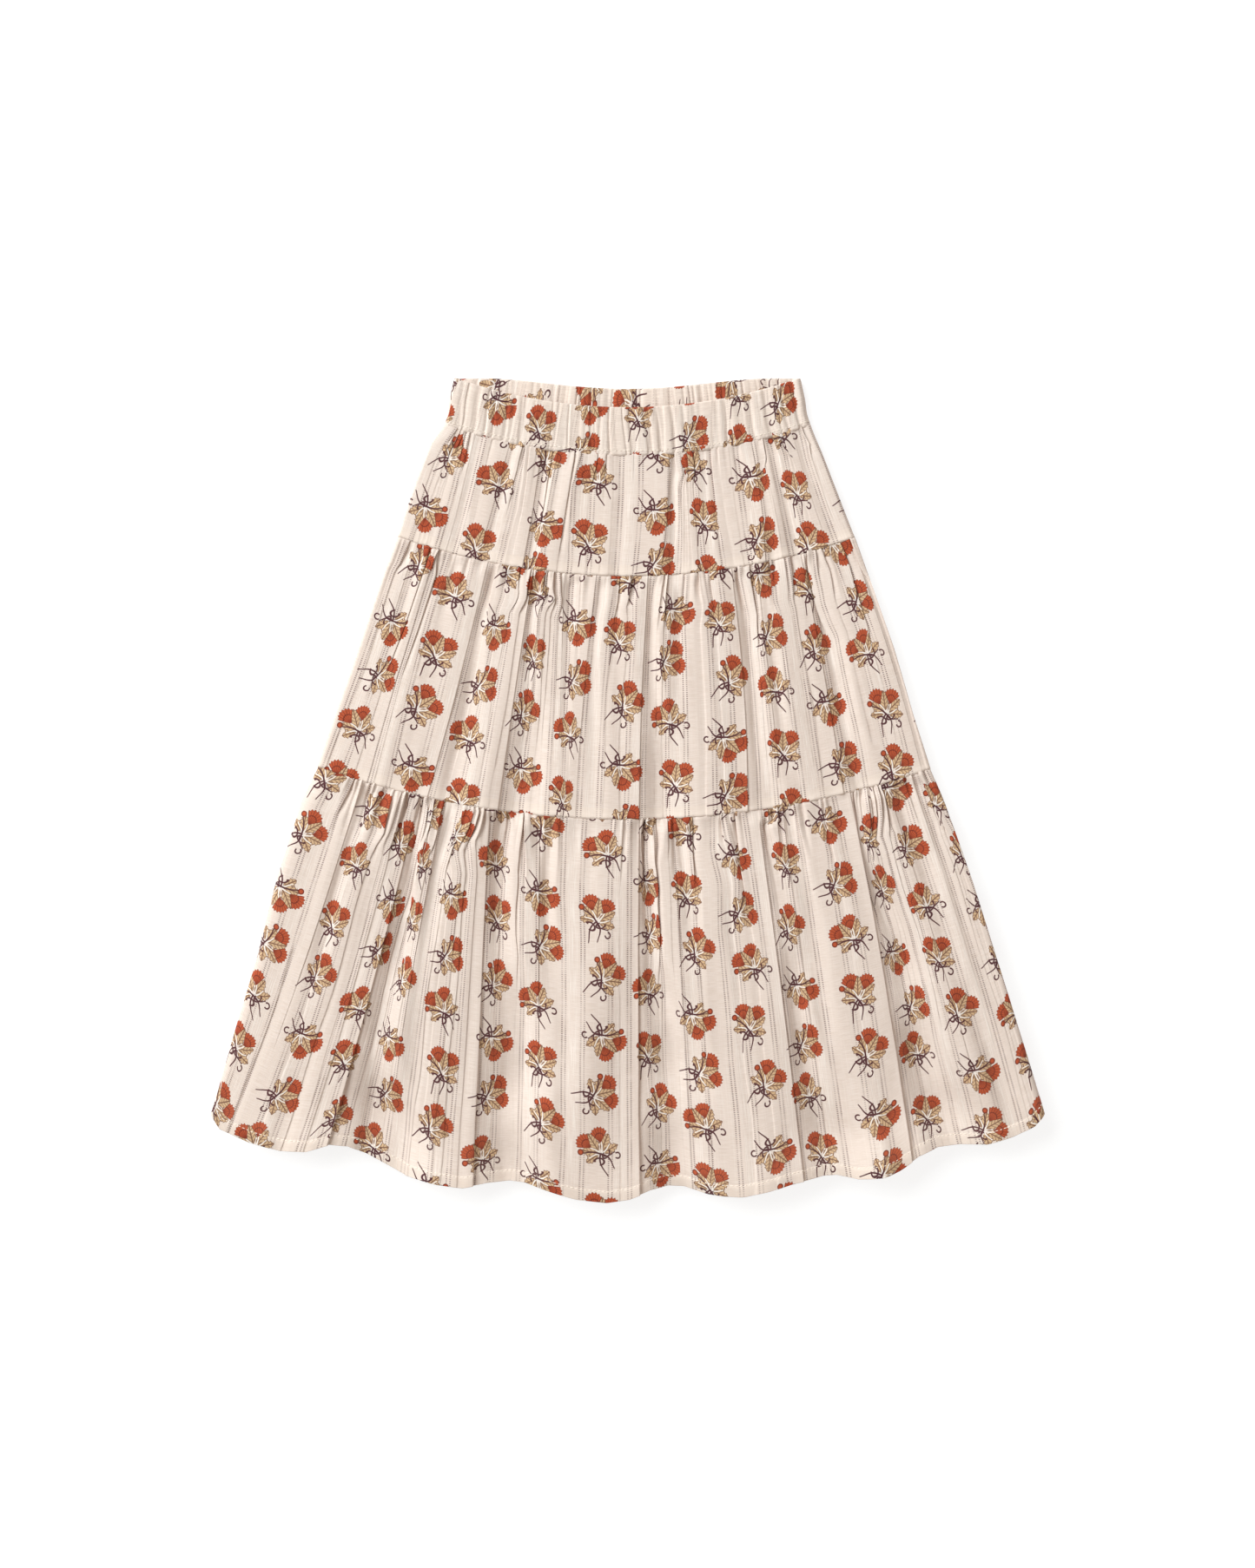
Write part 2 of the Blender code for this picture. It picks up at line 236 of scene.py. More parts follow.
def sprig(pen, point, ground):
    """The ground with one printed sprig on it. The point is seen from where its stalks cross."""
    colour = ground
    for leaf in (  # where it starts, which way it points, its length and width
        ((-1.6, 0.6), 92, 9.5, 6.6),
        ((1.8, 0.2), -100, 10.5, 7.2),
        ((-1.2, 1.6), 52, 10.5, 7.4),
        ((1.6, 1.6), -56, 11.5, 7.8),
        ((-0.2, 2.4), 0, 12.5, 8.0),
    ):
        inside, ink = toothed_leaf(pen, point, *leaf)
        colour = pen.blend(inside, colour, pen.blend(ink, TAN, VEIN))
    pale = [stalk(pen, point, (0.0, 0.0), turn, 8.5, 0.5, 0.38) for turn in (28, -38, 76, -78)]
    colour = pen.blend(pen.most(*pale), colour, STEM_PALE)
    for bloom in (((-3.5, 6.4), 20, 0.85), ((3.7, 5.8), -22, 0.81)):
        inside, ink = fan_bloom(pen, point, *bloom)
        colour = pen.blend(inside, colour, pen.blend(ink, RUST, RUST_DARK))
    tendrils = [
        stalk(pen, point, (0.4, 0.6), 160, 15.5, 1.7, 0.5),
        stalk(pen, point, (-0.3, 0.4), 197, 13.5, -1.8, 0.5),
        stalk(pen, point, (0.0, 0.2), 236, 9.5, 1.3, 0.48),
        stalk(pen, point, (0.0, 0.0), 55, 12.5, 0.7, 0.48),
        curl(pen, point, (-3.4, -3.4), 150, (3.1, 2.1), 0.32),
        curl(pen, point, (2.9, -1.8), 20, (2.9, 1.7), 0.32),
        curl(pen, point, (8.2, -7.0), 95, (1.9, 1.6), 0.38),
    ]
    colour = pen.blend(pen.most(*tendrils), colour, PLUM)
    bud = pen.reach(*pen.seen_from(point, (-10.6, 7.4), 0))
    bud_colour = pen.blend(pen.step(bud, 0.9, 1.5), RUST, RUST_DARK)
    return pen.blend(pen.step(bud, 2.1, 1.75), colour, bud_colour)


def sprig_point(pen, across, along):
    """Each place as seen from its cell's sprig, which strays and is turned one of five ways."""
    column = pen.math("FLOOR", pen.math("DIVIDE", across, SPRIG_STEP[0]))
    shifted = pen.add(along, pen.mul(column, SPRIG_STEP[1] * SPRIG_DROP))
    row = pen.math("FLOOR", pen.math("DIVIDE", shifted, SPRIG_STEP[1]))
    chance = pen.node("ShaderNodeTexWhiteNoise", pen.join(column, row), noise_dimensions="2D")
    chances = pen.split(chance.outputs["Color"])
    local = []
    axes = zip((across, shifted), (column, row), SPRIG_STEP, chances, SPRIG_STRAY)
    for at, cell, step, chance, stray in axes:
        from_middle = pen.sub(at, pen.mul(pen.add(cell, 0.5), step))
        local.append(pen.sub(from_middle, pen.mul(pen.sub(chance, 0.5), stray)))
    kind = pen.math("WRAP", pen.add(row, pen.mul(column, 2.0)), float(len(SPRIG_TURNS)), 0.0)
    turn = SPRIG_TURNS[0]
    for number, onwards in enumerate(SPRIG_TURNS[1:]):
        turn = pen.add(turn, pen.mul(pen.step(kind, number + 0.4, number + 0.6), onwards))
    spun = pen.node("ShaderNodeVectorRotate", pen.join(*local), rotation_type="Z_AXIS")
    sized = pen.node("ShaderNodeMapping", pen.fill(spun, {"Angle": turn}))
    scale = (1 / SPRIG_SCALE, 1 / SPRIG_SCALE, 1.0)
    return pen.fill(sized, {"Location": (0.0, 1.0, 0.0), "Scale": scale})


def dobby_cloth(pen, across, along, cream, openwork):
    """(colour, relief) of the cloth before it is printed, with painted shade in its openwork holes."""
    point = pen.join(across, along)
    in_repeat = pen.math("WRAP", across, STRIPE_REPEAT, 0.0)
    half_repeat = STRIPE_REPEAT / 2
    lines = []
    for middle in PAIR_PLACES:
        off = pen.size(pen.math("WRAP", pen.sub(in_repeat, middle), half_repeat, -half_repeat))
        lines.append(pen.step(pen.size(pen.sub(off, LINE_APART)), 0.85, 0.35))
    rung = pen.teeth(pen.mul(along, 1 / HOLE_STEP))
    open_share = pen.add(0.45, pen.mul(pen.step(pen.noise(point, (0.11, 0.045)), 0.35, 0.62), 0.55))
    holes = pen.mul(pen.mul(pen.most(*lines), pen.step(rung, 0.38, 0.14)), open_share)
    satin = pen.step(pen.size(pen.sub(in_repeat, SATIN_PLACE)), SATIN_HALF + 1.8, SATIN_HALF - 1.6)
    satin = pen.mul(satin, pen.step(pen.noise(point, (1.7, 0.04), 3.0), 0.45, 0.68))
    thread = pen.noise(point, (0.10, 2.1))
    streak = pen.noise(point, (0.8, 0.02))
    bands = []
    for edge in SEAM_EDGES:
        from_middle = pen.size(pen.sub(along, edge + DOUBLED / 2))
        bands.append(pen.step(from_middle, DOUBLED / 2 + 0.3, DOUBLED / 2))
    ground = pen.blend(pen.step(thread, 0.3, 0.72), SHADE_CREAM, cream)
    for share, colour in (
        (pen.mul(pen.step(streak, 0.5, 0.8), 0.3), SATIN),
        (pen.mul(satin, 0.85), SATIN),
        (pen.mul(pen.most(*bands), 0.55), DOUBLED_CREAM),
        # The openwork holes get painted shade, the darker the larger openwork is.
        (pen.mul(holes, openwork), HOLE_SHADE),
    ):
        ground = pen.blend(share, ground, colour)
    waves = [pen.math("SINE", pen.mul(at, pitch)) for at, pitch in zip((across, along), WEAVE)]
    relief = pen.add(pen.mul(pen.add(*waves), 0.25), pen.mul(thread, 1.3))
    return ground, pen.sub(pen.add(relief, pen.mul(satin, 0.8)), pen.mul(holes, 1.6))


def printed_cotton(name, cream, openwork):
    """The skirt's cotton. openwork says how dark the painted shade in its openwork holes is, from 0 to 1."""
    made, pen, shader = new_material(name)
    weft, warp, _ = pen.split(pen.node("ShaderNodeUVMap", uv_map="cloth"))
    across, along = pen.mul(weft, 1 / MM), pen.mul(warp, 1 / MM)
    ground, relief = dobby_cloth(pen, across, along, cream, openwork)
    printed = sprig(pen, sprig_point(pen, across, along), ground)
    bump = {"Strength": 0.4, "Distance": 0.13 * MM, "Height": relief}
    raised = pen.fill(pen.node("ShaderNodeBump"), bump)
    pen.fill(shader, {
        "Base Color": printed, "Normal": raised, "Roughness": 0.86,
        "Specular IOR Level": 0.25, "Sheen Weight": 0.1, "Sheen Roughness": 0.5,
    })
    glow = pen.node("ShaderNodeBsdfTranslucent")
    pen.fill(glow, {"Color": pen.blend(0.35, printed, (0.95, 0.66, 0.45, 1)), "Normal": raised})
    cloth = pen.node("ShaderNodeMixShader", LIGHT_THROUGH, shader, glow)
    pen.fill(made.node_tree.nodes["Material Output"], {"Surface": cloth})
    return made


cotton = printed_cotton("printed_cotton", CREAM, 0.95)

# The skirt lies open like a fan, so a place on it is an angle and a radius from an apex
# beyond its waist. Each level: radius, half-angle to the left and right, height of the
# crests between folds, and height of the side edge.
APEX = (-0.504, 657.624)
FRONT_TOP, WAIST_SEAM, UPPER_SEAM, LOWER_SEAM, HEM = 379.0, 413.0, 503.0, 681.0, 957.0
LEVELS = np.array([
    (379, 19.60, 19.55, 8.6, 4.3),
    (395, 19.30, 19.26, 8.7, 4.3),
    (405, 19.00, 18.95, 8.8, 4.3),
    (414, 18.90, 18.92, 8.9, 4.3),
    (430, 19.55, 19.00, 9.0, 4.4),
    (460, 19.70, 19.16, 9.2, 4.5),
    (503, 19.60, 19.35, 9.6, 4.6),
    (590, 19.50, 19.32, 11.5, 5.0),
    (640, 19.48, 19.05, 12.5, 5.4),
    (681, 19.44, 18.98, 13.5, 5.6),
    (708, 19.65, 19.10, 14.5, 5.8),
    (770, 19.48, 19.10, 17.5, 6.4),
    (830, 19.08, 18.96, 20.0, 7.0),
    (957, 18.68, 18.75, 23.0, 8.0),
])
LEFT, RIGHT, CREST, SIDE = 1, 2, 3, 4  # the columns of LEVELS after the radius
BACK_TOP, BACK_LOW = 4.1, 0.35  # mm, heights that the front keeps above and the back lies at
EDGE_ROUND = 0.42  # share of the side edge's rise that is a quarter round, above an upright part
WALL_EASE = 0.34  # share of a wall's cloth over which its turn grows or fades
LONG_ROLL, LONG_STEEP, LONG_LEAN = 0.1, 0.3, 0.6  # shares of a long fold's drop in its three walls
SHOULDER = 0.6  # lengths of a long fold's roll and lean, as a share of its gentle wall's
STEEPEST = 1.6  # radians, the most that a long fold's steep wall is turned
DEEP_FOLD = 2.0  # mm of drop at its bottom, beyond which a fold's crest keeps to its height


def at_level(column, radius):
    return np.interp(radius, LEVELS[:, 0], LEVELS[:, column])


def side_edges(radius):
    """Where the left and right side edges lie across a row, in mm."""
    return -math.radians(at_level(LEFT, radius)) * radius, math.radians(at_level(RIGHT, radius)) * radius


def place(angle, radius, height):
    """World points in metres, from angles in radians and lengths in millimetres."""
    across, down = radius * np.sin(angle), radius * np.cos(angle)
    return MM * np.stack([APEX[0] + across, APEX[1] - down, height], axis=-1)


def eased(t):
    """t kept between 0 and 1, with soft ends."""
    t = np.clip(t, 0, 1)
    return t * t * (3 - 2 * t)


def fading(at, reach, most=1):
    """1 at 0, falling to 0 at reach, and up to most before 0."""
    return np.clip(1 - at / reach, 0, most)


def between(ends, t):
    return ends[0] * (1 - t) + ends[1] * t


def pinned(values, cloth, pins, wanted):
    """The values shifted along the cloth so that they are the wanted ones at the pins."""
    return values + np.interp(cloth, pins, wanted - np.interp(pins, cloth, values))


def wall_window(t):
    """How far a fold's wall is turned along its cloth: eased in and out."""
    return eased(t / WALL_EASE) * eased((1 - t) / WALL_EASE)


# For a wall turned by each of these angles: how far a millimetre of its cloth drops, and
# how much of that millimetre is spare, which is to say doesn't reach across.
TURNS = np.radians(np.arange(0.0, 166.0))
TURNED = np.outer(TURNS, wall_window(np.linspace(0, 1, 201)))
DROP_OF, SPARE_OF = np.sin(TURNED).mean(1), 1 - np.cos(TURNED).mean(1)
SPARE_FOR_DROP = np.concatenate([[0], SPARE_OF[1:] / DROP_OF[1:]])


def gentle_turn(drop):
    """The turn, up to a right angle, at which each millimetre of a wall drops this far."""
    return np.interp(drop, DROP_OF[:90], TURNS[:90])


def steep_turn(spare, drop):
    """The turn at which a wall takes in this much spare cloth while it drops this far."""
    return np.interp(spare / drop, SPARE_FOR_DROP, TURNS)


def spare_in(turn, length):
    return length * np.interp(turn, TURNS, SPARE_OF)


def length_for(turn, drop):
    return drop / np.interp(turn, TURNS, DROP_OF)


def fold_form(drop, spare, rise):
    """(steep wall's length, its turn, gentle wall's turn) of a fold that takes in this spare cloth."""
    drop = np.minimum(np.minimum(drop, 2.2 * spare), 0.8 * rise) + 1e-4
    gentle = gentle_turn(drop / rise)
    steep = steep_turn(np.maximum(spare - spare_in(gentle, rise), 0.25 * drop), drop)
    return length_for(steep, drop), steep, gentle


def gather_turn(cloth, places, sides, drop, spare, rise):
    """How far small folds that start at these places turn the cloth, in radians."""
    length, steep, gentle = (values[:, None] for values in fold_form(drop, spare, rise))
    offset = (cloth - places[:, None]) * sides[:, None]
    down = wall_window(offset / length) * steep
    up = wall_window((offset - length) / rise[:, None]) * gentle
    return sides @ (up - down)


def end_turn(cloth, cut, arc, upright=0.0):
    """How far a panel's cloth is turned at its side edges: up at its start, down at its end."""
    turned = [np.clip((upright + arc - run) / arc, 0, 1) for run in (cloth, cut - cloth)]
    return (turned[0] - turned[1]) * math.pi / 2


def edge_cloth(rise):
    """Lengths of the upright and of the round part of the cloth at a side edge of this rise."""
    return (1 - EDGE_ROUND) * rise, math.pi / 2 * EDGE_ROUND * rise


class SeamPuckers:
    """Short soft troughs that start at a gathered seam and run out below it."""

    def __init__(self, cut, pitch, reach, deep, seed):
        random = np.random.default_rng(seed)
        count = int(cut / pitch)
        self.place = cut * (np.arange(count) + random.uniform(0.1, 0.9, count)) / count
        self.reach = reach * random.uniform(0.25, 1.0, count) * np.where(random.random(count) < 0.22, 2.4, 1)
        self.deep = deep * random.uniform(0.2, 1.3, count)
        self.half = random.uniform(0.8, 2.8, count)
        self.lean = random.uniform(-0.07, 0.07, count)
        self.skew = random.uniform(-0.55, 0.55, count)

    def height(self, cloth, below):
        left = fading(below, self.reach)
        middle, half = self.place + self.lean * below, self.half * (1.9 - 0.9 * left)
        t = (cloth - middle[:, None]) / half[:, None]
        shape = np.exp(-((t * (1 + self.skew[:, None] * np.tanh(3 * t))) ** 2))
        return -(self.deep * left**1.3 * min(1.0, 0.5 + below / 6)) @ shape


class FrontTier:
    """A front panel as it lies: long folds placed as listed, with small gathers between them.

    size is the cloth that a gather takes in, reach how far it runs, deep the puckers' depth.
    """

    def __init__(self, top, bottom, long_folds, size, reach, deep, seed):
        self.top, self.bottom = top, bottom
        columns = np.array(long_folds, float).T
        self.angles, foot_spare, self.drops, self.rises = columns[:2], columns[2], columns[3:5], columns[5:]
        count = len(foot_spare)
        # Each span has cloth enough to reach across at every radius, with some to spare.
        self.bow = 0.0
        needed = [self.across(radius) + self.edge_spare(radius) for radius in np.linspace(top, bottom, 8)]
        lengths = np.maximum(np.max(needed, axis=0) + 0.8, needed[-1] + np.array([0.6, *foot_spare]))
        self.marks = np.concatenate([[0], np.cumsum(lengths)])
        self.cut = self.marks[-1]
        random = np.random.default_rng(seed)
        self.bow = random.uniform(-0.22, 0.22, count)
        self.sway = random.uniform(0, 6.28, (3, count))
        self.set_gathers(size, reach, random)
        self.puckers = SeamPuckers(self.cut, pitch=5.2, reach=reach, deep=deep, seed=seed + 100)

    def share(self, radius):
        return np.clip((radius - self.top) / (self.bottom - self.top), 0, 1)

    def marks_across(self, radius):
        """Where the side edges and the crests of the long folds lie, in mm."""
        t = self.share(radius)
        crests = between(self.angles, t) + self.bow * math.sin(math.pi * t)
        return np.radians([-at_level(LEFT, radius), *crests, at_level(RIGHT, radius)]) * radius

    def across(self, radius):
        return np.diff(self.marks_across(radius))

    def edge_spare(self, radius):
        """Cloth that the rounded side edges take in."""
        rise = at_level(CREST, radius) - at_level(SIDE, radius)
        spare = np.zeros(self.angles.shape[1] + 1)
        spare[[0, -1]] = sum(edge_cloth(rise)) - EDGE_ROUND * rise
        return spare

    def spare_cloth(self, radius):
        """Cloth between each two marks that doesn't reach across at this radius."""
        return np.diff(self.marks) - self.across(radius) - self.edge_spare(radius)

    def set_gathers(self, size, reach, random):
        spare = self.spare_cloth(self.top)
        places, spares, owner = [], [], []
        for index, (start, end) in enumerate(zip(self.marks[:-1], self.marks[1:])):
            first, last = index == 0, index == len(spare) - 1
            shared = spare[index] * (1.0 if first else 0.66)
            count = max(1, round(shared / size))
            low = start + (12.0 if first else 9.0)
            high = end - (14.0 if last else 5.0)
            places.extend(low + (high - low) * (np.arange(count) + random.uniform(0.12, 0.88, count)) / count)
            sizes = random.uniform(0.45, 1.5, count)
            spares.extend(shared * sizes / sizes.sum())
            owner.extend([index] * count)
        count = len(places)
        self.place, self.spare, self.owner = np.array(places), np.array(spares), np.array(owner)
        self.reach = reach * random.uniform(0.4, 1.0, count) * np.where(random.random(count) < 0.2, 2.6, 1)
        self.drop = np.clip(self.spare * random.uniform(0.6, 0.95, count), 0.5, 3.8)
        self.rise = 2.4 + self.spare * random.uniform(0.7, 1.5, count)
        self.side = np.where(random.random(count) < 0.7, 1.0, -1.0)
        self.wander = random.uniform(-1, 1, (2, count))

    def fold_sizes(self, radius):
        """Drop of each long fold at this radius and length of its gentle wall, both uneven."""
        below, t = radius - self.top, self.share(radius)
        uneven = 1 + 0.2 * np.sin(below / 21 + self.sway[0]) + 0.12 * np.sin(below / 9.5 + self.sway[1])
        drop = between(self.drops, t if self.bottom < HEM else t**1.35)
        rise = between(self.rises, t) * (1 + 0.2 * np.sin(below / 27 + self.sway[2]))
        return np.maximum(drop, 0.05) * uneven, rise

    def long_turn(self, cloth, drop, rise, spare):
        """How far the long folds turn the cloth: a roll, a steep wall, a lean and a gentle wall."""
        shoulder = SHOULDER * rise
        roll, lean = gentle_turn(LONG_ROLL * drop / shoulder), gentle_turn(LONG_LEAN * drop / shoulder)
        gentle = gentle_turn(drop / rise)
        hidden = spare - spare_in(gentle, rise) - spare_in(lean, shoulder)
        steep = steep_turn(np.maximum(hidden, 0.05 * drop), LONG_STEEP * drop).clip(0, STEEPEST)
        wall = length_for(steep, LONG_STEEP * drop)
        start, turned = self.marks[1:-1] - shoulder, 0.0
        for length, turn in ((shoulder, -roll), (wall, -steep), (shoulder, -lean), (rise, gentle)):
            turned = turned + turn @ wall_window((cloth - start[:, None]) / length[:, None])
            start = start + length
        return turned

    def row(self, radius, cloth):
        """Across and height, in mm, of each cloth place in the row at this radius."""
        below = radius - self.top
        crest = at_level(CREST, radius)
        upright, arc = edge_cloth(crest - at_level(SIDE, radius))
        edge = upright + arc

        # Each span's spare cloth goes to its long fold, as far as that can take it in, and the
        # rest to its small gathers, which fade below the seam.
        drop, rise = self.fold_sizes(radius)
        fade = np.clip(1 - below / self.reach, 0.02, 1)
        small = self.spare * fade
        spare = self.spare_cloth(radius)
        total = np.bincount(self.owner, small, len(spare))
        most = np.concatenate([[0], drop * (0.8 + 1.5 * np.clip(drop / 3, 0, 1))])
        long_spare = np.clip(spare - total, 0, most)
        small = np.maximum(small * np.clip((spare - long_spare) / total, 0, 4)[self.owner], 0.01)
        main = end_turn(cloth, self.cut, arc, upright) + self.long_turn(cloth, drop, rise, long_spare[1:])
        pressed = 0.55 + 0.45 * min(below / 9.0, 1.0)
        wandered = self.place + 1.1 * self.wander[0] * np.sin(below / 19.0 + 3 * self.wander[1])
        gather_drop = self.drop * pressed * fade**0.5
        turn = main + gather_turn(cloth, wandered, self.side, gather_drop, small, self.rise)

        # Follow the turned cloth, and hold it at the marks and at its own level between folds.
        step = np.gradient(cloth)
        target = self.marks_across(radius)
        x = pinned(np.cumsum(np.cos(turn) * step), cloth, self.marks, target)
        crests = np.maximum(self.marks[1:-1] - SHOULDER * rise, edge + 1)[self.drops[1] > DEEP_FOLD]
        level = np.concatenate([[edge], crests, [self.cut - edge]])
        z_main = pinned(np.cumsum(np.sin(main) * step), cloth, level, 0)
        halfway = (self.place[1:] + self.place[:-1]) / 2
        flats = np.sort(np.concatenate([[0], self.marks[1:-1], halfway, [self.cut]]))
        z = pinned(np.cumsum(np.sin(turn) * step), cloth, flats, np.interp(flats, cloth, z_main))
        z = crest + z + self.puckers.height(cloth, below)
        return np.clip(x, target[0], target[-1]), np.maximum(z, BACK_TOP)


class BackTier:
    """A back panel: it lies flat on the table under the front, with small gathers."""

    marks = ()

    def __init__(self, top, bottom, cut, count, seed):
        random = np.random.default_rng(seed)
        self.top, self.bottom, self.cut = top, bottom, cut
        self.place = 14 + (cut - 28) * (np.arange(count) + random.uniform(0.2, 0.8, count)) / count
        self.share = random.uniform(0.6, 1.4, count)
        self.share /= self.share.sum()
        self.side = np.where(random.random(count) < 0.5, 1.0, -1.0)

    def row(self, radius, cloth):
        side = at_level(SIDE, radius)
        stand = side - BACK_LOW
        edge = math.pi / 2 * stand
        start, end = side_edges(radius)
        spare = self.cut - (end - start) - 2 * (math.pi / 2 - 1) * stand
        own = np.maximum(spare * self.share, 0.01)
        drop = np.clip(own * 0.3, 0.2, 1.6)
        gathers = gather_turn(cloth, self.place, self.side, drop, own, 4.0 + own)
        turn = end_turn(cloth, self.cut, edge) + gathers
        step = np.gradient(cloth)
        x = pinned(np.cumsum(np.cos(turn) * step), cloth, (0, self.cut), (start, end))
        halfway = (self.place[1:] + self.place[:-1]) / 2
        flats = np.concatenate([[0, edge], halfway, [self.cut - edge, self.cut]])
        level = np.full(len(flats), BACK_LOW)
        level[[0, -1]] = side
        z = pinned(np.cumsum(np.sin(-turn) * step), cloth, flats, level)
        return x, np.maximum(z, 0.15)


def mesh_columns(panel, count):
    """Cloth places for a mesh's columns, closer together at the folds."""
    fine = np.linspace(0, panel.cut, 6000)
    weight = np.full_like(fine, 0.5)
    for at in panel.marks[1:-1]:
        weight += 3.0 * ((fine > at - 1.5) & (fine < at + 17))
    for at in panel.place:
        weight += 2.5 * (np.abs(fine - at) < 8.5)
    weight = np.minimum(weight, 3.5)
    total = np.concatenate([[0], np.cumsum(weight[1:] * np.diff(fine))])
    return np.interp(np.linspace(0, total[-1], count), total, fine)


def cloth_mesh(name, points, uv, material, ring=False):
    """An object from a grid of points in metres. In a ring its last column comes back to its first."""
    if ring:
        points = points[:, :-1]
    rows, columns = points.shape[:2]
    index = np.arange(rows * columns).reshape(rows, columns)
    if ring:
        index = np.concatenate([index, index[:, :1]], axis=1)
    corners = (index[:-1, :-1], index[1:, :-1], index[1:, 1:], index[:-1, 1:])
    quads = np.stack(corners, axis=-1).reshape(-1, 4)
    mesh = bpy.data.meshes.new(name)
    mesh.from_pydata(points.reshape(-1, 3).tolist(), [], quads.tolist())
    layer = mesh.uv_layers.new(name="cloth")
    layer.data.foreach_set("uv", uv.reshape(-1, 2)[quads.ravel()].astype(np.float32).ravel())
    mesh.shade_smooth()
    mesh.materials.append(material)
    return new_object(name, mesh)


def ripple(along, period, phase):
    """An uneven ripple between about -1 and 1: three waves that rise slowly and fall fast."""
    turns = 2 * math.pi * along / period
    waves = [turns + phase, turns * 0.73 + 2.1 * phase, turns * 1.37 + 3.7 * phase]
    return sum(np.sin(wave) - 0.25 * np.sin(2 * wave) for wave in waves) / 3


def billow(x, radius):
    """Soft lift and sink of the laid cloth between its folds, in mm. It runs with the fan."""
    along = x / radius * 800
    size = np.interp(radius, (WAIST_SEAM, UPPER_SEAM, HEM), (0.3, 0.8, 2.1))
    wide = ripple(along, 92, 0.6 + radius / 210)
    narrow = ripple(along, 35, 2.2 - radius / 260) * (0.75 + 0.45 * np.sin(radius / 41 + along / 60))
    return size * (wide + 0.62 * narrow)


NEAR_TOP = (-1.2, -0.5, 0.0, 0.6, 1.4, 2.6, 4.2, 6.2, 8.4)  # mm below a panel's top, rows of its mesh
NEAR_FOOT = (9.2, 8.4, 7.9, 7.4, 6.4, 4.6, 3.2, 2.2, 1.4, 0.7, 0.2, -0.2)  # mm above its foot
STITCHED, TURNED_EDGE = 2, 4  # which rows near the foot carry the hem's stitches and its turned edge
HEM_DEPTH = 8.0  # mm, how deep the hem is turned up
HEM_ROLL = 0.07  # share of the turned cloth that rolls round the hem's edge
TURNED_ROWS = 3  # rows of the mesh behind the hem
SEAM_EASE = 10.0  # mm below a seam in which the cloth keeps to the height of the tier above
SEAM_SMOOTH = 5.0  # mm, gathers narrower than this keep their own height at the seam
FINE_STEP = 0.25  # mm from place to place where a row's form is worked out
PRESSED = 0.15  # how much of the front's relief the back shows, the other way up


def tier_rows(panel, spacing):
    """How far below the panel's top each row of its mesh lies."""
    depth = panel.bottom - panel.top
    evenly = np.linspace(11, depth - 11, int((depth - 20) / spacing))
    return np.concatenate([NEAR_TOP, evenly, depth - np.array(NEAR_FOOT)])


def turn_hem(points, uv, up):
    """Adds the rows of the cloth that is turned up behind the lower edge."""
    edge, behind = points[-1], points[TURNED_EDGE - len(NEAR_FOOT)]
    thickness = np.array([0, 0, 0.55 * MM * up])
    rolled = between((edge, behind), HEM_ROLL)
    rows = [edge - thickness, rolled - 1.6 * thickness, behind - 1.6 * thickness]
    behind_uv = uv[-1] + np.array([0, -HEM_DEPTH * MM])
    rows_uv = [uv[-1], between((uv[-1], behind_uv), HEM_ROLL), behind_uv]
    return np.concatenate([points, rows]), np.concatenate([uv, rows_uv])


def seam_shift(panel, above, fine):
    """How much higher than this panel's top the tier above ends, at angles along the seam."""
    x, z = panel.row(panel.top, fine)
    angles, step = np.linspace(x[0] / panel.top, x[-1] / panel.top, 2000, retstep=True)
    shift = np.interp(angles, *above.foot) - np.interp(angles, np.maximum.accumulate(x) / panel.top, z)
    wide = round(SEAM_SMOOTH / (step * panel.top))
    return angles, np.convolve(shift, np.ones(wide) / wide, "same")


def seam_relief(from_foot, cloth):
    """Height over the cloth, above a seam, of its ridge, its allowance and its puckers."""
    ridge = 0.36 * fading(abs(from_foot - 1.8), 2.4) + 0.12 * fading(from_foot, 5)
    rolled = 0.7 * fading(from_foot, 0.9, 1.4) ** 2
    return ridge - rolled + 0.2 * fading(from_foot, 4.5) * ripple(cloth, 11, 0.4)


def hem_relief(from_foot, cloth):
    """Height of the doubled cloth at the hem, and of the groove that its stitches press in."""
    groove = math.exp(-(((from_foot - HEM_DEPTH) / 1.4) ** 2))
    doubled = np.clip((HEM_DEPTH + 0.4 - from_foot) / 0.8, 0, 1)
    return 0.3 * doubled - 0.28 * groove + 0.14 * groove * ripple(cloth, 4.1, 0.2)


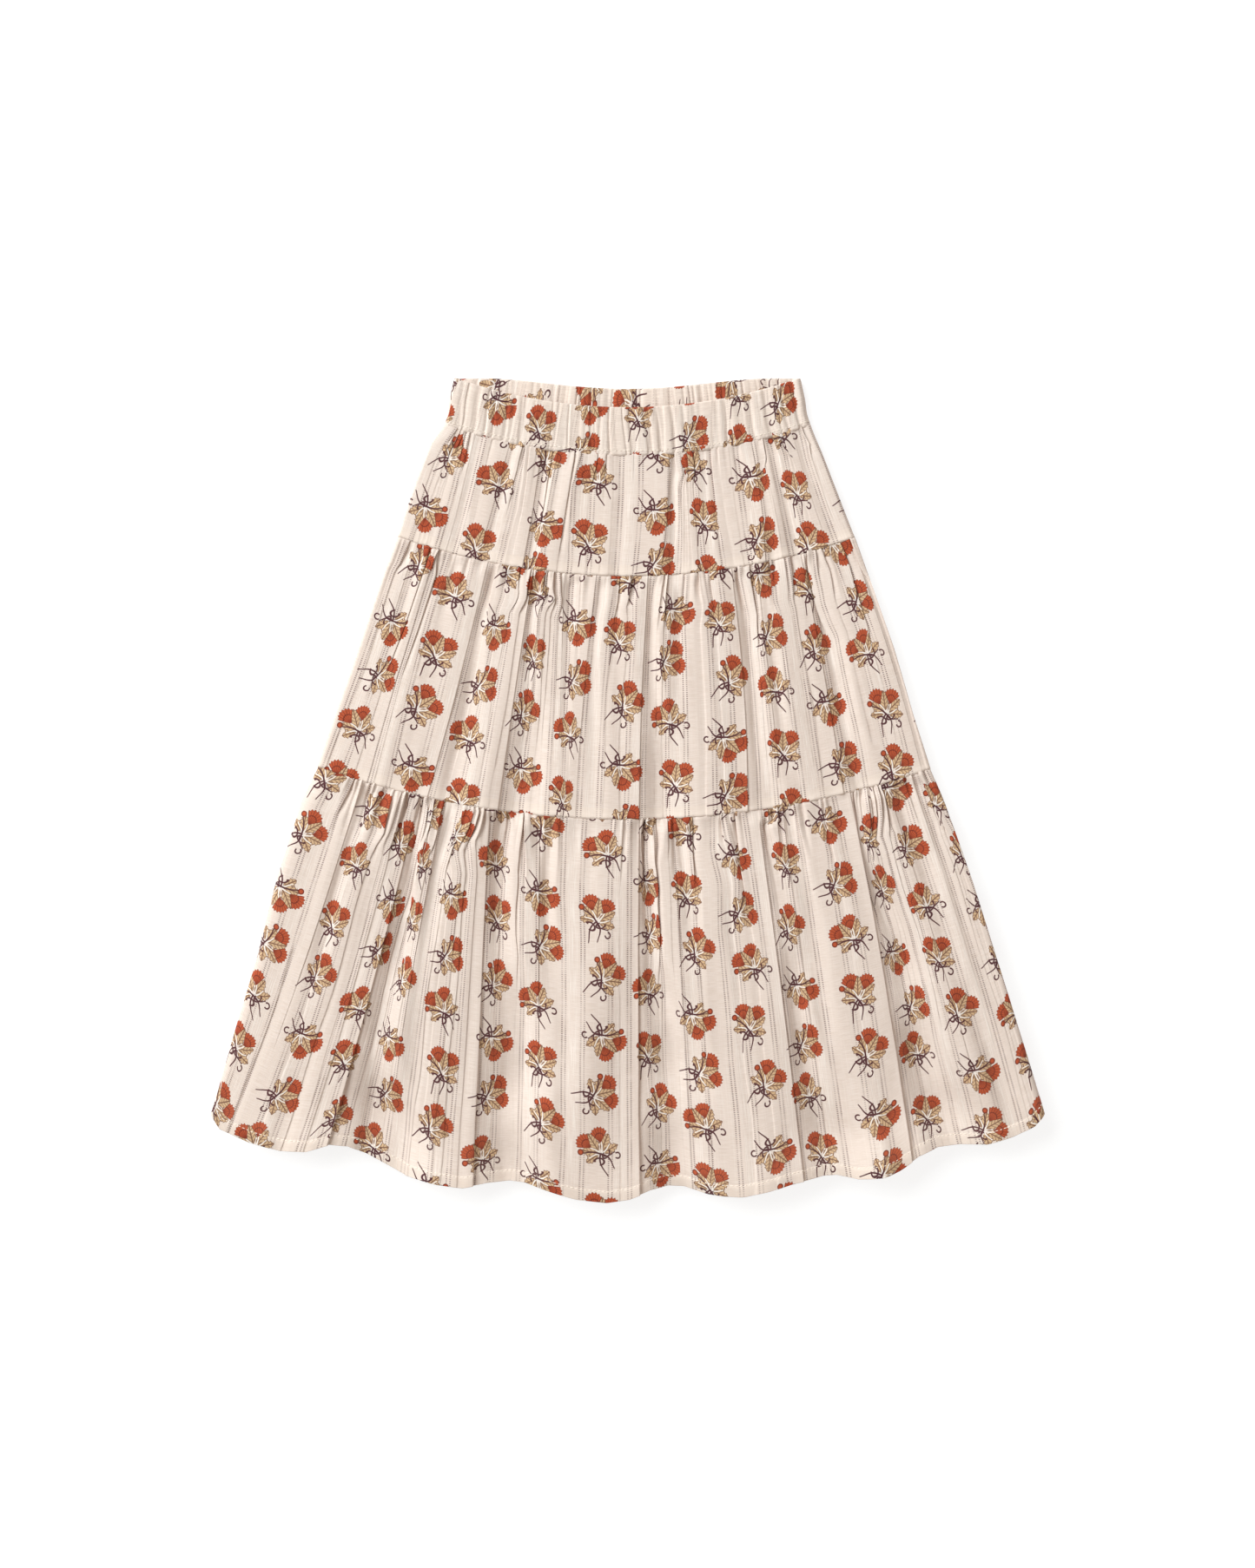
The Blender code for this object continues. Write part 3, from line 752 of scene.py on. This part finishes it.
def build_tier(name, panel, columns, spacing, cloth_start, above=None):
    """The cloth of one panel, sewn under the tier above it, with its seam or hem at its foot."""
    fine = np.linspace(0, panel.cut, int(panel.cut / FINE_STEP))
    shift = seam_shift(panel, above, fine) if above else None
    shown = mesh_columns(panel, columns)
    is_front = isinstance(panel, FrontTier)
    up = 1 if is_front else -PRESSED
    points, uv = [], []
    for below in tier_rows(panel, spacing):
        radius, from_foot = panel.top + below, panel.bottom - panel.top - below
        x, z = (np.interp(shown, fine, values) for values in panel.row(radius, fine))
        z = z - up * 0.5 * fading(below, 1.6, 1.4)
        if is_front:
            edge_near = np.minimum(x - x[0], x[-1] - x)
            z = z + billow(x, radius) * np.clip(below / 15, 0, 1) * np.clip(edge_near / 25 - 0.4, 0, 1)
        if above:
            held = eased(1 - below / SEAM_EASE)
            z = np.maximum(z + held * np.interp(x / radius, *shift), BACK_TOP - 0.3)
        panel.foot = (np.maximum.accumulate(x) / radius, z)
        radii = np.full_like(x, radius)
        if panel.bottom < HEM:
            z = z + up * seam_relief(from_foot, shown)
            radii = radii + 0.35 * fading(from_foot, 4.5) * ripple(shown, 17, 1.0)
        else:
            z = z + up * hem_relief(from_foot, shown)
        points.append(place(x / radius, radii, np.maximum(z, 0.1)))
        uv.append(MM * np.stack([shown + cloth_start[0], np.full_like(x, cloth_start[1] - below)], axis=-1))
    points, uv = np.array(points), np.array(uv)
    if panel.bottom == HEM:
        points, uv = turn_hem(points, uv, 1 if is_front else -0.1)
    if not is_front:
        points, uv = points[:, ::-1], uv[:, ::-1]
    return cloth_mesh(name, points, uv, cotton)


def dress(piece, node):
    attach(piece, "root")
    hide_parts(node)


top_folds = [
    # angle in degrees at top and bottom, then in mm: spare cloth at bottom, drop at top and
    # bottom, length of the gentle wall at top and bottom
    (-15.6, -15.3, 1.0, 0.9, 1.0, 6, 10),
    (-12.0, -12.6, 0.8, 1.0, 0.8, 6, 10),
    (-8.7, -8.8, 3.6, 1.8, 2.3, 8, 14),
    (-7.0, -7.4, 0.6, 0.8, 0.3, 6, 8),
    (-1.4, -1.6, 1.0, 1.2, 0.7, 7, 11),
    (4.2, 2.7, 3.0, 1.6, 2.2, 8, 13),
    (6.8, 6.6, 0.6, 1.1, 0.4, 6, 9),
    (10.2, 9.8, 1.0, 1.2, 0.9, 6, 10),
    (12.6, 11.6, 2.4, 1.1, 2.1, 7, 12),
    (14.0, 13.6, 2.0, 1.4, 1.8, 6, 10),
    (16.9, 17.0, 0.8, 1.1, 0.9, 6, 9),
]
top_front = FrontTier(WAIST_SEAM, UPPER_SEAM, top_folds, size=1.9, reach=32, deep=0.6, seed=21)
piece = build_tier("top_tier_front_cloth", top_front, 560, 3.0, (0, 0))
dress(piece, "top_tier_front")
top_back = BackTier(WAIST_SEAM, UPPER_SEAM, top_front.cut, count=20, seed=22)
piece = build_tier("top_tier_back_cloth", top_back, 300, 6.0, (520, 0))
dress(piece, "top_tier_back")

# ------------------------------------------------------------------ middle tier
# A longer strip of the same cotton, gathered onto the top tier's lower edge. Most of its
# folds run from seam to seam.
middle_folds = [
    (-17.9, -18.1, 0.4, 1.4, -0.4, 7, 12),
    (-15.0, -14.8, 0.8, 2.2, 0.6, 8, 16),
    (-11.7, -12.4, 3.4, 2.5, 3.1, 8, 24),
    (-7.9, -8.0, 4.8, 3.0, 4.2, 9, 28),
    (-5.3, -4.3, 0.8, 2.4, -0.6, 7, 14),
    (-2.6, -3.2, 1.0, 2.2, 0.6, 7, 14),
    (1.7, 0.7, 5.2, 3.0, 4.3, 8, 27),
    (3.6, 2.7, 0.7, 2.4, -0.4, 6, 14),
    (8.7, 7.4, 4.4, 2.8, 4.0, 8, 26),
    (10.8, 9.6, 1.6, 2.2, 1.6, 7, 14),
    (14.6, 13.4, 4.4, 3.0, 4.4, 8, 27),
    (18.9, 18.4, 0.5, 1.4, 0.6, 5, 8),
]
middle_front = FrontTier(UPPER_SEAM, LOWER_SEAM, middle_folds, size=3.3, reach=42, deep=1.5, seed=31)
piece = build_tier("middle_tier_front_cloth", middle_front, 780, 3.6, (130, -310), above=top_front)
dress(piece, "middle_tier_front")
middle_back = BackTier(UPPER_SEAM, LOWER_SEAM, middle_front.cut, count=28, seed=32)
piece = build_tier("middle_tier_back_cloth", middle_back, 420, 9.0, (710, -310))
dress(piece, "middle_tier_back")

# ------------------------------------------------------------------ bottom tier
# The longest strip, gathered onto the middle tier. It falls into six flutes, and its hem is
# turned up 8 mm and stitched.
bottom_folds = [
    (-16.5, -17.2, 0.6, 3.0, -0.6, 8, 20),
    (-12.9, -13.4, 8.0, 4.4, 13.0, 12, 56),
    (-11.3, -10.7, 0.6, 2.6, -0.8, 7, 24),
    (-8.5, -6.8, 8.0, 4.6, 12.5, 13, 56),
    (-5.4, -4.0, 1.0, 3.2, 0.2, 8, 24),
    (0.7, 0.5, 9.0, 5.0, 13.0, 11, 54),
    (2.8, 2.9, 1.4, 3.0, 0.8, 7, 26),
    (8.0, 7.7, 6.0, 4.4, 9.0, 11, 36),
    (9.5, 9.0, 2.0, 2.6, 1.8, 8, 26),
    (13.8, 12.5, 8.0, 4.8, 12.5, 12, 54),
    (16.1, 16.1, 1.4, 2.8, 0.8, 8, 22),
    (17.7, 17.3, 0.4, 1.8, -0.6, 7, 12),
]
HEM_LINE = np.array([  # angle in degrees and radius in mm of the front's lower edge
    (-18.7, 944.5), (-18.1, 952.5), (-16.7, 955.4), (-15.3, 955.3), (-14.2, 951.0),
    (-13.3, 942.5), (-12.5, 941.0), (-11.6, 944.0), (-10.7, 948.5), (-9.7, 954.0),
    (-8.3, 955.7), (-7.2, 955.8), (-6.2, 951.0), (-5.2, 948.3), (-4.5, 948.8),
    (-3.4, 953.0), (-2.2, 957.4), (-0.9, 959.4), (0.1, 957.0), (1.0, 951.0),
    (1.8, 948.8), (2.5, 949.8), (3.5, 955.2), (5.0, 958.7), (6.2, 956.2),
    (7.2, 953.2), (8.6, 950.8), (9.2, 951.6), (10.1, 957.0), (11.2, 958.1),
    (12.0, 955.6), (12.9, 949.0), (13.8, 946.2), (14.8, 948.6), (15.9, 953.6),
    (17.1, 953.4), (18.1, 950.6), (18.75, 944.5),
])
BACK_HEM = 944.0


def mesh_points(piece):
    points = np.empty(len(piece.data.vertices) * 3)
    piece.data.vertices.foreach_get("co", points)
    return points.reshape(-1, 3)


def draw_to_hem(piece, front):
    """Moves the panel's points along the fan so that its lower edge follows the hem line."""
    points = mesh_points(piece) / MM
    across, down = points[:, 0] - APEX[0], APEX[1] - points[:, 1]
    angle, radius = np.arctan2(across, down), np.hypot(across, down)
    hem = np.interp(np.degrees(angle), HEM_LINE[:, 0], HEM_LINE[:, 1]) if front else BACK_HEM
    radius += (hem - HEM) * ((radius - LOWER_SEAM) / (HEM - LOWER_SEAM)) ** 2
    piece.data.vertices.foreach_set("co", place(angle, radius, points[:, 2]).ravel())
    piece.data.update()


# The thread of the seams that show, and the size of its stitches in metres.
STITCH_SIZES = {"Stitch step": 3.3 * MM, "Stitch length": 2.5 * MM, "Thread radius": 0.3 * MM}
thread, pen, shader = new_material("cream_thread")
strands = pen.node("ShaderNodeTexNoise", pen.node("ShaderNodeTexCoord").outputs["Object"])
twist = pen.fill(strands, {"Scale": 900.0}).outputs["Fac"]
dyed = pen.blend(twist, (0.74, 0.63, 0.52, 1), (0.90, 0.83, 0.74, 1))
pen.fill(shader, {"Base Color": dyed, "Roughness": 0.7, "Sheen Weight": 0.2})


def stitch_tree():
    """Geometry Nodes that lay a row of stitches along the line they are given."""
    tree = bpy.data.node_groups.new("stitch_row", "GeometryNodeTree")
    new_socket = tree.interface.new_socket
    new_socket("Line", in_out="INPUT", socket_type="NodeSocketGeometry")
    for name, value in STITCH_SIZES.items():
        new_socket(name, in_out="INPUT", socket_type="NodeSocketFloat").default_value = value
    new_socket("Seed", in_out="INPUT", socket_type="NodeSocketInt")
    new_socket("Stitches", in_out="OUTPUT", socket_type="NodeSocketGeometry")
    pen = ShaderPen(tree)
    given = tree.nodes.new("NodeGroupInput").outputs
    curve = pen.node("GeometryNodeMeshToCurve", given["Line"])
    spaced = pen.node("GeometryNodeResampleCurve", curve, mode="LENGTH")
    pen.fill(spaced, {"Length": given["Stitch step"]})
    along = pen.node("FunctionNodeAlignRotationToVector", axis="X")
    pen.fill(along, {"Vector": pen.node("GeometryNodeInputTangent")})
    bead = pen.node("GeometryNodeMeshUVSphere", 6, 4, 1.0)
    uneven = pen.node("FunctionNodeRandomValue", data_type="FLOAT")
    for name, value in (("Min", 0.8), ("Max", 1.1), ("Seed", given["Seed"])):
        pen.put(next(i for i in uneven.inputs if i.name == name and i.enabled), value)
    half_length = pen.mul(pen.mul(given["Stitch length"], 0.5), next(o for o in uneven.outputs if o.enabled))
    radius = given["Thread radius"]
    size = pen.node("ShaderNodeCombineXYZ", half_length, radius, radius)
    laid = pen.node("GeometryNodeInstanceOnPoints")
    pen.fill(laid, {"Points": spaced, "Instance": bead, "Rotation": along, "Scale": size})
    real = pen.node("GeometryNodeRealizeInstances", laid)
    dyed = pen.fill(pen.node("GeometryNodeSetMaterial", real), {"Material": thread})
    tree.links.new(dyed.outputs[0], tree.nodes.new("NodeGroupOutput").inputs[0])
    return tree


stitches = stitch_tree()


def stitch_row(name, line, closed, seed):
    """A row of stitches along a line of points in metres, as one plain mesh."""
    edges = [(i, i + 1) for i in range(len(line) - 1)] + ([(len(line) - 1, 0)] if closed else [])
    path = bpy.data.meshes.new(name)
    path.from_pydata(line.tolist(), edges, [])
    row = new_object(name, path)
    modifier = row.modifiers.new("stitches", "NODES")
    modifier.node_group = stitches
    seed_socket = next(socket for socket in stitches.interface.items_tree if socket.name == "Seed")
    modifier[seed_socket.identifier] = seed
    bpy.context.view_layer.update()
    made = bpy.data.meshes.new_from_object(row.evaluated_get(bpy.context.evaluated_depsgraph_get()))
    row.modifiers.clear()
    row.data = made
    made.shade_smooth()
    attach(row, "root")


def hem_stitches(name, piece, columns, lift, seed):
    """Stitches through the hem of a finished panel, lifted this many mm off its cloth."""
    rows = mesh_points(piece).reshape(-1, columns, 3)
    line = rows[STITCHED - len(NEAR_FOOT) - TURNED_ROWS] + np.array([0, 0, lift * MM])
    stitch_row(name, line, False, seed)


bottom_front = FrontTier(LOWER_SEAM, HEM, bottom_folds, size=4.0, reach=56, deep=2.9, seed=41)
piece = build_tier("bottom_tier_front_cloth", bottom_front, 1080, 4.2, (50, -720), above=middle_front)
draw_to_hem(piece, True)
dress(piece, "bottom_tier_front")
hem_stitches("hem_stitches_front", piece, 1080, lift=0.14, seed=3)
bottom_back = BackTier(LOWER_SEAM, HEM, bottom_front.cut, count=36, seed=42)
piece = build_tier("bottom_tier_back_cloth", bottom_back, 540, 12.0, (900, -720))
draw_to_hem(piece, False)
dress(piece, "bottom_tier_back")
hem_stitches("hem_stitches_back", piece, 540, lift=0.0, seed=4)

# ------------------------------------------------------------------ waistband
# A casing of the same cotton, folded over a wide elastic that gathers it all round in fine
# uneven puckers. Its front stands lower than its back, whose inside shows above it.
BAND_CUT = 338.0  # mm, cut width of the casing's front and of its back
CASING_THICKNESS = 2.3
BACK_RISE = 15.0  # mm, how much farther up the back's upper edge lies than the front's
EDGE_ROLL = 1.2  # mm, radius of the round upper edge
ROLL_CLOTH = 3.8  # mm of cloth that goes over the upper edge
SINK = (1.5, 0.7, 0.15)  # mm, how far the front's lowest rows go down onto the top tier
STITCH_RADIUS = 411.2  # mm, where the stitches run round the casing
BAND_START = (930, -40)  # mm, the place on the cloth where the casing is cut
# The casing's openwork holes get much lighter painted shade than the skirt's.
casing_cotton = printed_cotton("casing_cotton", (0.822, 0.714, 0.632, 1), 0.3)


class CasingHalf:
    """The front or back of the casing as it lies, with its puckers."""

    def __init__(self, front, seed):
        self.front = front
        self.puckers = SeamPuckers(BAND_CUT, pitch=6.0, reach=900, deep=0.9, seed=seed)
        self.fine_puckers = SeamPuckers(BAND_CUT, pitch=4.1, reach=60, deep=0.35, seed=seed + 1)

    def row(self, radius, cloth):
        """Across, height of the outer face, height of its puckers, and turn of its smooth form."""
        start, end = side_edges(radius)
        side = at_level(SIDE, radius)
        stand = at_level(CREST, radius) - side + 0.5 if self.front else side - BACK_LOW
        form = end_turn(cloth, BAND_CUT, math.pi / 2 * stand) * (1 if self.front else -1)
        below = radius - FRONT_TOP
        swayed = cloth + 0.8 * np.sin(below / 10 + cloth / 23)
        relief = self.puckers.height(swayed, 6 + below) + self.fine_puckers.height(cloth, 40 - below)
        near_edge = np.clip(np.minimum(cloth, BAND_CUT - cloth) / 6, 0, 1)
        step = np.gradient(cloth)
        slack = 1 - 0.35 * np.abs(np.gradient(relief, cloth))
        x = np.cumsum(np.cos(form) * slack * step)
        x = start + (x - x[0]) * (end - start) / (x[-1] - x[0])
        return x, side + np.cumsum(np.sin(form) * step), relief * near_edge, form


def casing_points(half, radius, cloth, shown, inner, turned):
    """One row of the casing. inner is 0 on its outer face, 1 on its inner face."""
    x, z, relief, form = (np.interp(shown, cloth, values) for values in half.row(radius, cloth))
    deep = CASING_THICKNESS * inner * (1 if half.front else -1)
    x = x + deep * np.sin(form)
    z = z - deep * np.cos(form) + relief * (1 if half.front or inner > 0.5 else 0.25)
    radii = np.full_like(x, radius) - turned
    if not half.front:
        down = (radius - FRONT_TOP) / (WAIST_SEAM - FRONT_TOP)
        radii -= BACK_RISE * (1 - down) * (1 - (np.abs(x) / np.abs(x).max()) ** 4)
    return place(x / radius, radii, np.maximum(z, 0.1))


band_front = CasingHalf(True, 51)
band_back = CasingHalf(False, 53)
fine = np.linspace(0, BAND_CUT, 3600)
shown = np.linspace(0, BAND_CUT, 700)
outer = [415.0, 414.6, 413.9, 413.0, 412.0, STITCH_RADIUS, 410.4, 409.0, *np.linspace(406, 383, 9), 380.6]
inner = [380.6, *np.linspace(384, 408, 8), 412.5]
# Each row: radius, share of the way from the outer to the inner face, how far it is rolled
# upwards, and its place along the cloth from the upper edge.
rows = [(radius, 0.0, 0.0, FRONT_TOP - radius) for radius in outer]
for angle in np.radians(np.linspace(15, 165, 7)):
    rows.append((380.2, (1 - math.cos(angle)) / 2, EDGE_ROLL * math.sin(angle), EDGE_ROLL * angle))
rows += [(radius, 1.0, 0.0, radius - FRONT_TOP + ROLL_CLOTH) for radius in inner]
around = np.concatenate([shown, 2 * BAND_CUT - shown[::-1]]) + BAND_START[0]
points, uv = [], []
for radius, depth, turned, along in rows:
    halves = [casing_points(half, radius, fine, shown, depth, turned) for half in (band_front, band_back)]
    points.append(np.concatenate([halves[0], halves[1][::-1]]))
    uv.append(MM * np.stack([around, np.full_like(around, along + BAND_START[1])], axis=-1))
points = np.array(points)
points[: len(SINK), : len(shown), 2] -= MM * np.array(SINK)[:, None]
piece = cloth_mesh("waistband_casing", points, np.array(uv), casing_cotton, ring=True)
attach(piece, "root")
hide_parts("waistband")
casing_line = points[outer.index(STITCH_RADIUS)]
casing_line[: len(shown), 2] += 0.12 * MM
stitch_row("casing_stitches", casing_line, True, 5)

# ------------------------------------------------------------------ table and light
# A plain white table, lit from below as a light table is, under a large soft window light
# from the upper left and a weak one from the lower right.
bpy.ops.mesh.primitive_plane_add(size=6.0)
table = bpy.context.object
table.name = "table_top"
white, pen, shader = new_material("white_table")
pen.fill(shader, {"Base Color": (0.25, 0.25, 0.25, 1), "Roughness": 0.95, "Emission Strength": 0.79})
table.data.materials.append(white)
world = bpy.data.worlds.new("studio")
world.use_nodes = True
sky = world.node_tree.nodes["Background"]
ShaderPen(world.node_tree).fill(sky, {"Color": (1.0, 0.91, 0.82, 1), "Strength": 0.41})
bpy.context.scene.world = world
lamps = (("key_softbox", (-2.3, 1.85, 2.15), 3.1, 237.0), ("fill_softbox", (1.8, -0.9, 2.0), 1.6, 10.0))
for name, where, size, power in lamps:
    lamp = bpy.data.lights.new(name, "AREA")
    lamp.size = size
    lamp.energy = power
    lamp.color = (0.935, 0.985, 1.0)
    light = new_object(name, lamp)
    light.location = where
    tilt = math.atan2(math.hypot(where[0], where[1]), where[2])
    light.rotation_euler = (tilt, 0, math.atan2(-where[1], -where[0]) - math.pi / 2)
